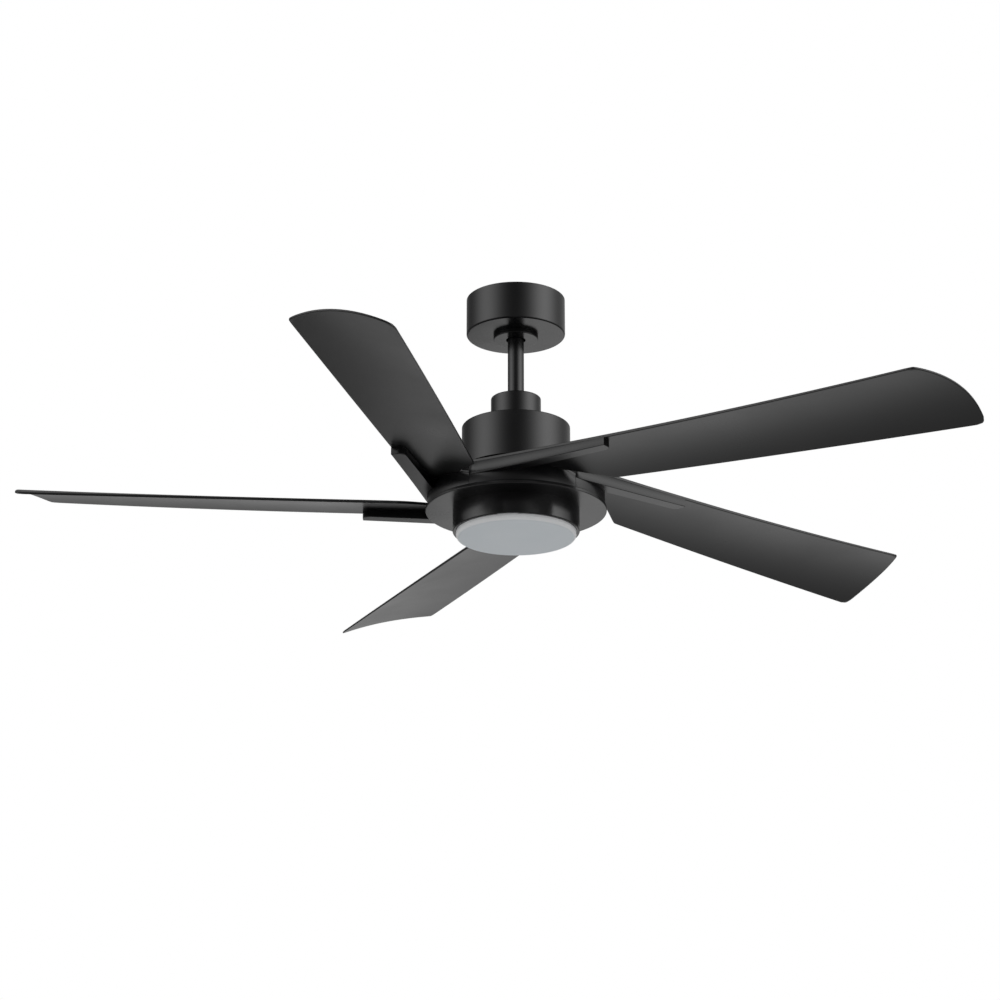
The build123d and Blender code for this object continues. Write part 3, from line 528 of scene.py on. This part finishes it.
def round_join(first, second, rounding, steps=8):
    """Two polylines that meet, with the corner rounded and shared between them."""
    corner = first[-1]
    before = (first[-4] - corner).normalized()
    after = (second[3] - corner).normalized()
    half = before.angle(after) / 2
    setback = rounding / np.tan(half)
    first = trim(first, setback, True)
    second = trim(second, setback, False)
    centre = corner + (before + after).normalized() * rounding / sin(half)
    start = first[-1] - centre
    end = second[0] - centre
    turn = start.angle(end)
    arc = []
    for step in range(2 * steps + 1):
        share = step / (2 * steps)
        arc.append(centre + (start * sin((1 - share) * turn) + end * sin(share * turn)) / sin(turn))
    return first + arc[1:steps + 1], arc[steps:-1] + second


def at_shares(points, shares):
    """Points at shares of a polyline's length."""
    steps = [(b - a).length for a, b in zip(points, points[1:])]
    reached = np.concatenate(([0.0], np.cumsum(steps)))
    lengths = np.array(shares) * reached[-1]
    x = np.interp(lengths, reached, [point.x for point in points])
    y = np.interp(lengths, reached, [point.y for point in points])
    return np.stack([x, y], axis=1)


def patch(low, high, left, right, across, outward):
    """A grid of plan points between four curves.

    low and high run across the blade, left and right outward; across and outward are shares.
    """
    low = at_shares(low, across)
    high = at_shares(high, across)
    left = at_shares(left, outward)
    right = at_shares(right, outward)
    v = np.array(across)[None, :, None]
    u = np.array(outward)[:, None, None]
    sides = (1 - v) * left[:, None] + v * right[:, None]
    ends = (1 - u) * low[None] + u * high[None]
    corners = (1 - u) * ((1 - v) * low[0] + v * low[-1]) + u * ((1 - v) * high[0] + v * high[-1])
    return sides + ends - corners


def edge_shares(length, count, at_start=True, at_end=True):
    """Shares along a length, close together near an edge so that its rounding can form."""
    offsets = [0.0, 0.1, 0.25, 0.5, 0.8, 1.2, 2.4]
    near = [offset * rim_rounding / length for offset in offsets]
    start = near if at_start else [0.0]
    end = [1 - value for value in near[::-1]] if at_end else [1.0]
    middle = np.linspace(start[-1], end[0], count)[1:-1]
    return start + list(middle) + end


def merge_grids(grids):
    """One plan of shared points and four-sided faces from several grids that touch."""
    index_of = {}
    plan = []
    faces = []
    for grid in grids:
        rows, columns = grid.shape[:2]
        index = np.zeros((rows, columns), int)
        for row in range(rows):
            for column in range(columns):
                key = tuple(np.round(grid[row, column], 4))
                if key not in index_of:
                    index_of[key] = len(plan)
                    plan.append(grid[row, column])
                index[row, column] = index_of[key]
        for row in range(rows - 1):
            for column in range(columns - 1):
                faces.append((index[row, column], index[row, column + 1],
                              index[row + 1, column + 1], index[row + 1, column]))
    return np.array(plan), faces


def distance_to_edge(plan, edges):
    """Distance of every plan point from the nearest outer edge."""
    start = plan[[edge[0] for edge in edges]]
    run = plan[[edge[1] for edge in edges]] - start
    squared = (run ** 2).sum(1)
    nearest = np.empty(len(plan))
    for index, point in enumerate(plan):
        share = np.clip(((point - start) * run).sum(1) / squared, 0, 1)
        nearest[index] = np.sqrt((((start + run * share[:, None]) - point) ** 2).sum(1).min())
    return nearest


def make_slab(grids, low, high, rounding_low=rim_rounding, rounding_high=rim_rounding):
    """Points and faces of a closed slab over a plan, with rounded rims.

    low and high are heights, or give the height above a plan point.
    """
    plan, quads = merge_grids(grids)
    uses = {}
    for quad in quads:
        for a, b in zip(quad, quad[1:] + quad[:1]):
            uses[(a, b)] = uses.get((a, b), 0) + 1
    edges = [pair for pair in uses if (pair[1], pair[0]) not in uses]
    inset = distance_to_edge(plan, edges)
    points = []
    for height, rounding, side in ((low, rounding_low, 1), (high, rounding_high, -1)):
        for point, gap in zip(plan, inset):
            level_here = height(*point) if callable(height) else height
            short = max(rounding - gap, 0.0)
            drop = rounding - sqrt(rounding ** 2 - short ** 2)
            points.append((point[0], point[1], level_here + side * drop))
    size = len(plan)
    faces = [quad[::-1] for quad in quads]
    faces += [tuple(index + size for index in quad) for quad in quads]
    faces += [(a, b, b + size, a + size) for a, b in edges]
    return points, faces


def join_slabs(slabs):
    """Several slabs as one list of points and one of faces."""
    points = []
    faces = []
    for slab_points, slab_faces in slabs:
        faces += [tuple(index + len(points) for index in face) for face in slab_faces]
        points += slab_points
    return points, faces


def seam_angles():
    """The two edges of a blade root's sector, with half a seam's gap taken off each."""
    half_gap = np.degrees(atan(seam_gap / 2 / hub_radius))
    return seam_angle + half_gap, seam_angle + 360.0 / blade_count - half_gap


def sector_grid(radius_in, radius_out, start, end, count, shares):
    """A grid over a sector of a ring."""
    radii = edge_shares(radius_out - radius_in, count)
    rows = []
    for share in radii:
        radius = radius_in + (radius_out - radius_in) * share
        rows.append([on_circle(radius, start + (end - start) * angle) for angle in shares])
    return np.array([[tuple(point) for point in row] for row in rows])


def make_plate_grids():
    """The blade's plan: its sector of the hub, and the blade itself."""
    start, end = seam_angles()
    seam_point = on_circle(hub_radius, start)
    lead = curve_through(seam_point + Vector((0, -seam_step)),
                         (180.0, leading_edge(180.0)[0]),
                         (tip_lead_station, leading_edge(tip_lead_station)[0]))
    lead[0] = seam_point
    middle_station = (tip_trail_station + inner_corner_station) / 2
    trail = curve_through((inner_corner_station, trailing_edge(inner_corner_station)[0]),
                          (middle_station, trailing_edge(middle_station)[0]),
                          (tip_trail_station, trailing_edge(tip_trail_station)[0]))
    cut_point = on_circle(hub_radius, cut_angle)
    cut = [cut_point.lerp(trail[0], step / 20) for step in range(21)]
    tip = bulge_through(lead[-1], tip_middle, trail[-1])
    lead, tip = round_join(lead, tip, tip_lead_rounding)
    inner, trail = round_join(cut, trail, inner_corner_rounding)
    backward, tip_back = round_join(trail, tip[::-1], tip_trail_rounding)
    trail = inner + backward[1:]
    tip = tip_back[::-1]
    hub_arc = arc_points(hub_radius, start, cut_angle)
    across = edge_shares(blade_width, 26)
    outward = edge_shares(blade_length, 76, at_start=False)
    blade = patch(hub_arc, tip, lead, trail, across, outward)
    inner_radius = pad_outer_radius - hub_wall
    sweep = (cut_angle - start) / (end - start)
    shares = [share * sweep for share in across]
    shares += [sweep + (1 - sweep) * share for share in edge_shares(20.0, 5)[1:]]
    hub = sector_grid(inner_radius, hub_radius, start, end, 12, shares)
    hub[-1, :len(across)] = blade[0]
    return [hub, blade]


def make_keel_grid():
    """The keel's plan, between the hub's wall and its rounded outer end."""
    start, _ = seam_angles()
    wall = hub_radius - hub_wall / 2
    first = on_circle(hub_radius + seam_step, start)
    lead_end = Vector((keel_end, leading_edge(keel_end)[0] + keel_inset))
    middle = (keel_bow_station, leading_edge(keel_bow_station)[0] + keel_inset)
    front = curve_through(first, middle, lead_end)
    back_end = Vector((keel_end, lead_end.y + keel_width_end))
    back_start = Vector((0.0, keel_width_root - hub_radius))
    slope = (back_end - back_start).normalized()
    run = -back_start.dot(slope) + sqrt(back_start.dot(slope) ** 2 + wall ** 2
                                        - back_start.length_squared)
    root_back = back_start + slope * run
    back = [root_back.lerp(back_end, step / 40) for step in range(41)]
    end = [back_end.lerp(lead_end, step / 20) for step in range(21)]
    back, end = round_join(back, end, keel_rounding)
    root_angle = np.degrees(np.arctan2(root_back.y, root_back.x))
    root = [first] + arc_points(wall, start + root_turn, root_angle)
    across = edge_shares(20.0, 8)
    outward = edge_shares(200.0, 30, at_start=False)
    return patch(root, end[::-1], front, back, across, outward)


def keel_bottom(x, _):
    """Height of the keel's flat bottom."""
    drop = keel_root_drop + (keel_end_drop - keel_root_drop) * x / keel_end
    return motor_bottom - drop


def inside_plate(x, y):
    """A height within the plate's thickness, where the parts under it end."""
    return underside(x, y) + root_thickness / 2


def make_blade_mesh():
    """Points and faces of one blade, pointing along +X."""
    start, end = seam_angles()
    shares = edge_shares(140.0, 36)
    skirt = sector_grid(hub_radius - hub_wall, hub_radius - 0.02, start, end, 3, shares)
    riser = sector_grid(pad_outer_radius - hub_wall, pad_outer_radius, start, end, 3,
                        edge_shares(90.0, 26))
    pad = sector_grid(pad_inner_radius, pad_outer_radius - 0.02, start, end, 8,
                      edge_shares(60.0, 20))
    width = np.degrees(hub_wall / hub_radius)
    wall = sector_grid(pad_outer_radius - 1.0, hub_radius - 1.0, start + 0.02, start + width, 8,
                       edge_shares(hub_wall, 3))
    return join_slabs([
        make_slab(make_plate_grids(), underside, upper_side),
        make_slab([make_keel_grid()], keel_bottom, inside_plate, 0.7, 0.2),
        make_slab([skirt], skirt_bottom, inside_plate, 0.5, 0.2),
        make_slab([riser], skirt_bottom, inside_plate, 0.5, 0.2),
        make_slab([pad], pad_bottom, pad_top, 0.4, 0.4),
        make_slab([wall], pan_top + seam_wall_drop, inside_plate, 0.3, 0.2),
    ])


def make_blades():
    """Five blades about the axis, each standing for its CAD node."""
    points, faces = make_blade_mesh()
    for index in range(blade_count):
        angle = radians(blade_1_angle + index * 360.0 / blade_count)
        turned = [(x * cos(angle) - y * sin(angle), x * sin(angle) + y * cos(angle), z)
                  for x, y, z in points]
        blade = make_piece(f"blade_shell_{index + 1}", turned, faces, "blade_plastic", "rotor")
        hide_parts(f"blade_{index + 1}")


# ---- scene ----------------------------------------------------------------------------------

def dress_cad_nodes():
    """Each CAD node that stays takes the procedural finish of its slot."""
    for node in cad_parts.values():
        for material_slot in node.material_slots:
            material_slot.material = materials[material_slot.material.name.split(".")[0]]


def make_camera():
    """The camera that looks up at the fan from below and in front."""
    camera = bpy.data.cameras.new("camera")
    camera.sensor_width = 36.0
    camera.lens = camera_lens
    camera_object = bpy.data.objects.new("camera", camera)
    bpy.context.scene.collection.objects.link(camera_object)
    camera_object.location = camera_place
    camera_object.rotation_euler = (radians(camera_tilt), 0.0, camera_yaw)
    bpy.context.scene.camera = camera_object


def make_floor():
    """A plain pale floor far below the fan."""
    corners = [(x * floor_size, y * floor_size, floor_height)
               for x, y in ((-1, -1), (1, -1), (1, 1), (-1, 1))]
    mesh = bpy.data.meshes.new("floor")
    mesh.from_pydata(corners, [], [(0, 1, 2, 3)])
    material, shader, place = new_material("pale_floor")
    shade = add_range(material, add_noise(material, place, 1.5, 2.0), 0.0, 1.0)
    colour = add_mix(material, shade, (0.80, 0.80, 0.80), (0.83, 0.83, 0.83))
    material.node_tree.links.new(colour, shader.inputs["Base Color"])
    shader.inputs["Roughness"].default_value = 0.8
    mesh.materials.append(material)
    floor = bpy.data.objects.new("floor", mesh)
    bpy.context.scene.collection.objects.link(floor)
    floor.visible_glossy = False


def toward(azimuth, elevation):
    """Unit direction; azimuth 0 is +Y and 90 is +X, in degrees."""
    a = radians(azimuth)
    e = radians(elevation)
    return (sin(a) * cos(e), cos(a) * cos(e), sin(e))


# soft sources seen by the gloss: azimuth, elevation, radiance, tightness
soft_sources = (
    (-112.0, 18.0, 2.0, 7.0),
    (113.0, 18.0, 2.8, 7.0),
    (40.0, 18.0, 0.25, 4.0),
    (-2.0, 4.0, 0.45, 15.0),
    (0.0, -31.0, 0.72, 20.0),
    (0.0, -80.0, 0.28, 4.0),
)
gloss_base = 0.12
fill_light = 0.55


def make_world():
    """A white studio; its soft sources are seen only in reflections."""
    world = bpy.data.worlds.new("studio")
    bpy.context.scene.world = world
    world.use_nodes = True
    nodes = world.node_tree.nodes
    links = world.node_tree.links
    nodes.clear()
    direction = nodes.new("ShaderNodeTexCoord").outputs["Generated"]
    total = None
    for azimuth, elevation, radiance, tightness in soft_sources:
        facing = nodes.new("ShaderNodeVectorMath")
        facing.operation = "DOT_PRODUCT"
        facing.inputs[1].default_value = toward(azimuth, elevation)
        links.new(direction, facing.inputs[0])
        positive = add_math(nodes, links, "MAXIMUM", facing.outputs["Value"], 0.0)
        lobe = add_math(nodes, links, "POWER", positive, tightness)
        lobe = add_math(nodes, links, "MULTIPLY", lobe, radiance)
        total = add_math(nodes, links, "ADD", lobe, gloss_base if total is None else total)
    rays = nodes.new("ShaderNodeLightPath")
    studio = pick(nodes, links, rays.outputs["Is Glossy Ray"], fill_light, total)
    strength = pick(nodes, links, rays.outputs["Is Camera Ray"], studio, 1.0)
    background = nodes.new("ShaderNodeBackground")
    background.inputs["Color"].default_value = (1.0, 1.0, 1.0, 1.0)
    links.new(strength, background.inputs["Strength"])
    output = nodes.new("ShaderNodeOutputWorld")
    links.new(background.outputs["Background"], output.inputs["Surface"])


def add_math(nodes, links, operation, first, second):
    """A math node; either value may be a socket or a number."""
    node = nodes.new("ShaderNodeMath")
    node.operation = operation
    for socket, value in zip(node.inputs, (first, second)):
        if isinstance(value, bpy.types.NodeSocket):
            links.new(value, socket)
        else:
            socket.default_value = value
    return node.outputs[0]


def pick(nodes, links, switch, when_off, when_on):
    """One of two values, chosen by a switch that is 0 or 1."""
    node = nodes.new("ShaderNodeMix")
    links.new(switch, node.inputs["Factor"])
    for socket, value in ((node.inputs["A"], when_off), (node.inputs["B"], when_on)):
        if isinstance(value, bpy.types.NodeSocket):
            links.new(value, socket)
        else:
            socket.default_value = value
    return node.outputs["Result"]


def make_flag():
    """A dark soft-edged card behind the left blades, seen only in reflections."""
    low, top, fade_top = -1.2, -0.5, -0.85
    left, fade_left, right, distance = -0.65, -0.55, -0.14, 1.0
    mesh = bpy.data.meshes.new("flag")
    mesh.from_pydata([(left, distance, low), (right, distance, low), (right, distance, top),
                      (left, distance, top)], [], [(0, 1, 2, 3)])
    material = bpy.data.materials.new("flag")
    material.use_nodes = True
    nodes = material.node_tree.nodes
    links = material.node_tree.links
    nodes.clear()
    place = nodes.new("ShaderNodeTexCoord").outputs["Object"]
    axes = nodes.new("ShaderNodeSeparateXYZ")
    links.new(place, axes.inputs[0])
    upper = add_range(material, axes.outputs["Z"], 1.0, 0.0, fade_top, top)
    side = add_range(material, axes.outputs["X"], 0.0, 1.0, left, fade_left)
    cover = add_math(nodes, links, "MULTIPLY", upper, side)
    dark = nodes.new("ShaderNodeEmission")
    dark.inputs["Color"].default_value = (0.02, 0.02, 0.02, 1.0)
    clear = nodes.new("ShaderNodeBsdfTransparent")
    blend = nodes.new("ShaderNodeMixShader")
    links.new(cover, blend.inputs[0])
    links.new(clear.outputs[0], blend.inputs[1])
    links.new(dark.outputs[0], blend.inputs[2])
    output = nodes.new("ShaderNodeOutputMaterial")
    links.new(blend.outputs[0], output.inputs["Surface"])
    mesh.materials.append(material)
    card = bpy.data.objects.new("flag", mesh)
    bpy.context.scene.collection.objects.link(card)
    card.visible_camera = False
    card.visible_diffuse = False
    card.visible_shadow = False


materials = make_materials()
dress_cad_nodes()
make_shells()
make_blades()
make_floor()
make_world()
make_flag()
make_camera()
bpy.context.scene.view_settings.view_transform = "Standard"
